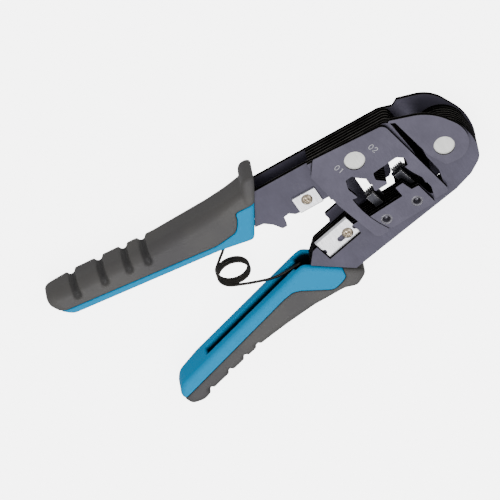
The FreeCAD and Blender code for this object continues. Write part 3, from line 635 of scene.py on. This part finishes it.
def rubber(name, color, pale):
    """Soft-touch rubber with a fine grain, paler where it is rubbed, with painted light on its
    sides facing +Y and painted shade in its grooves and slots.
    """
    n = Nodes(name)
    rubbed = n.spread(n.noise(45, 4), 0.4, 0.75)
    speck = n.noise(1500, 3)
    tone = n.mix(n.math("MULTIPLY", rubbed, 0.5), color, pale)
    tone = n.mix(n.math("MULTIPLY", n.spread(speck, 0.55, 0.75), 0.2), tone, pale)
    # Painted light: surfaces facing +Y are made paler.
    split = n.add("ShaderNodeSeparateXYZ")
    n.tree.links.new(n.place.outputs["Normal"], split.inputs[0])
    painted_side_light = n.spread(split.outputs[1], 0.1, 0.95)
    tone = n.mix(n.math("MULTIPLY", painted_side_light, 0.2), tone, pale)
    # Painted shade: darker the deeper a point lies below the moulded outer surface.
    tone = n.mix(n.recess(), tone, tuple(0.3 * c for c in color))
    n.bump(n.math("ADD", speck, n.math("MULTIPLY", n.noise(5200, 2), 0.5)), 0.25, 0.00006)
    return n.finish(tone, n.spread(speck, 0.3, 0.7, 0.46, 0.6), Specular_IOR_Level=0.35)


def plastic(name, color, deep):
    """Moulded plastic with faint flow marks and a fine matt grain, a painted highlight along its
    edges and painted shade in its slots.
    """
    n = Nodes(name)
    flow = n.noise(60, 3, (0.35, 1, 1))
    grain = n.noise(3000, 2)
    tone = n.mix(n.spread(flow, 0.35, 0.7, 0.0, 0.45), color, deep)
    # Painted highlight: paler blue along sharp edges.
    tone = n.mix(n.math("MULTIPLY", n.edge(0.0005), 0.25), tone, (0.25, 0.72, 0.95))
    # Painted shade: near black the deeper a point lies below the moulded outer surface.
    tone = n.mix(n.recess(), tone, (0.001, 0.012, 0.02))
    n.bump(n.math("ADD", grain, n.math("MULTIPLY", flow, 0.4)), 0.15, 0.00005)
    return n.finish(tone, n.spread(grain, 0.3, 0.7, 0.42, 0.52), Specular_IOR_Level=0.05)


# Plate face colours, and a near-black colour painted on the plates' sides as shade.
HEAD_FACE = (0.100, 0.093, 0.128)
ARM_FACE = (0.086, 0.080, 0.112)
SHADED_SIDE = (0.010, 0.0095, 0.009)
head_steel = plate_steel("head_steel", HEAD_FACE, SHADED_SIDE, 0.42)
arm_steel = plate_steel("arm_steel", ARM_FACE, SHADED_SIDE, 0.42)
tool_steel = bare_steel("tool_steel", (0.05, 0.05, 0.06), 0.4, 0.9)
rivet_steel = bare_steel("rivet_steel", (0.16, 0.155, 0.18), 0.3, 0.8)
# Pins near-white and barely metallic: a painted reflection of the lamps in polished steel ends.
pin_painted_reflection = bare_steel("pin_painted_reflection", (1.0, 1.0, 0.97), 0.4, 0.1)
blade_steel = bare_steel("blade_steel", (0.88, 0.88, 0.92), 0.34, 0.7)
screw_nickel = bare_steel("screw_nickel", (0.60, 0.50, 0.38), 0.2, 1.0)
wire_steel = bare_steel("wire_steel", (0.035, 0.030, 0.026), 0.4, 0.8)
engraved = bare_steel("engraved_fill", (0.62, 0.62, 0.66), 0.6, 0.0)
dark_rubber = rubber("dark_rubber", (0.068, 0.065, 0.068), (0.115, 0.111, 0.100))
blue_plastic = plastic("blue_plastic", (0.0, 0.31, 0.62), (0.0, 0.27, 0.55))

LOOKS = dict.fromkeys(frame["nodes"], head_steel)
for node in ("upper_front_plate", "upper_back_plate", "lower_front_plate", "lower_back_plate",
             "upper_arm_rivet", "lower_arm_rivet"):
    LOOKS[node] = arm_steel
for node in ("narrow_contact_comb", "wide_contact_comb", "narrow_strain_punch",
             "wide_strain_punch", "upper_tang_core"):
    LOOKS[node] = tool_steel
LOOKS.update(pivot_pin=pin_painted_reflection, die_stack_pin=pin_painted_reflection, short_blade=blade_steel,
             long_blade=blade_steel, short_blade_screw=screw_nickel,
             long_blade_screw=screw_nickel, upper_handle_grip=dark_rubber,
             lower_handle_grip=dark_rubber, upper_handle_liner=blue_plastic,
             lower_handle_liner=blue_plastic, return_spring=wire_steel)
for node, thing in frame["nodes"].items():
    thing.data.materials.clear()
    thing.data.materials.append(LOOKS[node])
for piece, look in ((upper_grip, dark_rubber), (lower_grip, dark_rubber),
                    (upper_liner, blue_plastic), (lower_liner, blue_plastic),
                    (spring, wire_steel), (rivets, rivet_steel),
                    (short_screw, screw_nickel), (long_screw, screw_nickel),
                    (numerals[0], engraved), (numerals[1], engraved)):
    piece.data.materials.append(look)


# ---------------------------------------------------------------- floor, light, camera

def floor():
    """A plain pale sheet that glows, but sends no light back to the object."""
    reach = 15.0
    made = new_object("studio_floor", [(-reach, -reach, -0.0002), (reach, -reach, -0.0002),
                                       (reach, reach, -0.0002), (-reach, reach, -0.0002)],
                      [(0, 1, 2, 3)], smooth=False)
    n = Nodes("studio_floor")
    tone = n.mix(n.spread(n.noise(3, 2), 0.3, 0.7), (0.94, 0.94, 0.94), (0.96, 0.96, 0.96))
    made.data.materials.append(n.finish(tone, 0.9, Emission_Color=(1, 1, 1, 1),
                                        Emission_Strength=5.0))
    made.visible_diffuse = False
    made.visible_glossy = False


def soft_light(name, place, size, watts, aim=(0, 0, 0)):
    """A large square lamp pointed at the object."""
    lamp = bpy.data.lights.new(name, "AREA")
    lamp.size = size
    lamp.energy = watts
    made = bpy.data.objects.new(name, lamp)
    made.location = place
    made.rotation_mode = "QUATERNION"
    made.rotation_quaternion = (Vector(aim) - Vector(place)).to_track_quat("-Z", "Y")
    bpy.context.scene.collection.objects.link(made)


floor()
soft_light("key", (-0.3, 0.3, 1.3), 0.5, 6)
soft_light("sheen", (-0.25, -0.75, 1.2), 0.7, 6)
soft_light("fill", (0.9, 0.1, 1.0), 1.0, 3)
world = bpy.data.worlds.new("studio")
bpy.context.scene.world = world
world.use_nodes = True
world.node_tree.nodes["Background"].inputs[0].default_value = (1, 1, 1, 1)
world.node_tree.nodes["Background"].inputs[1].default_value = 0.6

RIGHT = Vector((0.86055, -0.49918, 0.10142))
UPWARD = Vector((0.47293, 0.70899, -0.52314))
BACK = Vector((0.18923, 0.49815, 0.84620))
TARGET = Vector((-101.27, -4.39, 9.0)) * MM + Vector((PIVOT.x, PIVOT.y, 0))
DISTANCE = 6.17
camera = bpy.data.objects.new("camera", bpy.data.cameras.new("camera"))
camera.data.lens = 1000
camera.data.sensor_width = 36
camera.data.clip_start = 0.05
camera.data.clip_end = 50
camera.matrix_world = Matrix.Translation(TARGET + BACK * DISTANCE) @ Matrix(
    (RIGHT, UPWARD, BACK)).transposed().to_4x4()
bpy.context.scene.collection.objects.link(camera)
bpy.context.scene.camera = camera
